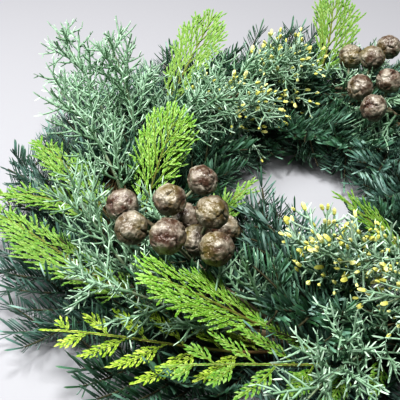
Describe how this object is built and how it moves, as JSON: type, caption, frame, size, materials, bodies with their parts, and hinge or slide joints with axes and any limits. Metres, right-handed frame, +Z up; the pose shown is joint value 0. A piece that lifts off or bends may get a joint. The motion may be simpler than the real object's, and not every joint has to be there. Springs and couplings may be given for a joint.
{
  "type": "evergreen wreath",
  "caption": "Lush round wreath of mixed fresh conifer sprays and round cypress cones, bound on a straw ring, to lie on a table or lean on a wall.",
  "frame": {"origin": "middle of the underside of the box round the whole wreath, on the surface it lies on", "axes": "+Z up through the hole of the wreath; +Y away from the picture's viewer; sprays are laid clockwise seen from above"},
  "size_m": [0.4958, 0.4932, 0.1197],
  "materials": {
    "straw": "dry wound straw",
    "wire": "green lacquered binding wire",
    "cones": "woody grey-brown scales with fine grooves",
    "golden_foliage": "fresh satin yellow-green scale leaves",
    "grey_foliage": "waxy grey-green threads",
    "budded_foliage": "waxy grey-green threads with pale yellow buds",
    "fir_foliage": "satin blue-green needles, paler below"
  },
  "bodies": {
    "root": {"straw_ring": "straw", "binding_wire": "wire", "cone_branch_front": "cones", "cone_branch_back": "cones", "golden_frond_01": "golden_foliage", "golden_frond_02": "golden_foliage", "golden_frond_03": "golden_foliage", "golden_frond_04": "golden_foliage", "golden_frond_05": "golden_foliage", "golden_frond_06": "golden_foliage", "golden_frond_07": "golden_foliage", "golden_frond_08": "golden_foliage", "golden_frond_09": "golden_foliage", "golden_frond_10": "golden_foliage", "golden_frond_11": "golden_foliage", "golden_frond_12": "golden_foliage", "golden_frond_13": "golden_foliage", "golden_frond_14": "golden_foliage", "grey_cypress_01": "grey_foliage", "grey_cypress_02": "grey_foliage", "grey_cypress_03": "grey_foliage", "grey_cypress_04": "grey_foliage", "grey_cypress_05": "grey_foliage", "grey_cypress_06": "grey_foliage", "grey_cypress_07": "grey_foliage", "grey_cypress_08": "grey_foliage", "grey_cypress_09": "grey_foliage", "grey_cypress_10": "grey_foliage", "grey_cypress_11": "grey_foliage", "grey_cypress_12": "grey_foliage", "grey_cypress_13": "grey_foliage", "budded_cypress_01": "budded_foliage", "budded_cypress_02": "budded_foliage", "budded_cypress_03": "budded_foliage", "budded_cypress_04": "budded_foliage", "budded_cypress_05": "budded_foliage", "fir_spray_01": "fir_foliage", "fir_spray_02": "fir_foliage", "fir_spray_03": "fir_foliage", "fir_spray_04": "fir_foliage", "fir_spray_05": "fir_foliage", "fir_spray_06": "fir_foliage", "fir_spray_07": "fir_foliage", "fir_spray_08": "fir_foliage", "fir_spray_09": "fir_foliage", "fir_spray_10": "fir_foliage", "fir_spray_11": "fir_foliage", "fir_spray_12": "fir_foliage", "fir_spray_13": "fir_foliage", "fir_spray_14": "fir_foliage", "fir_spray_15": "fir_foliage", "fir_spray_16": "fir_foliage", "fir_spray_17": "fir_foliage", "fir_spray_18": "fir_foliage", "fir_spray_19": "fir_foliage", "fir_spray_20": "fir_foliage", "fir_spray_21": "fir_foliage", "fir_spray_22": "fir_foliage", "fir_spray_23": "fir_foliage"}
  },
  "joints": []
}
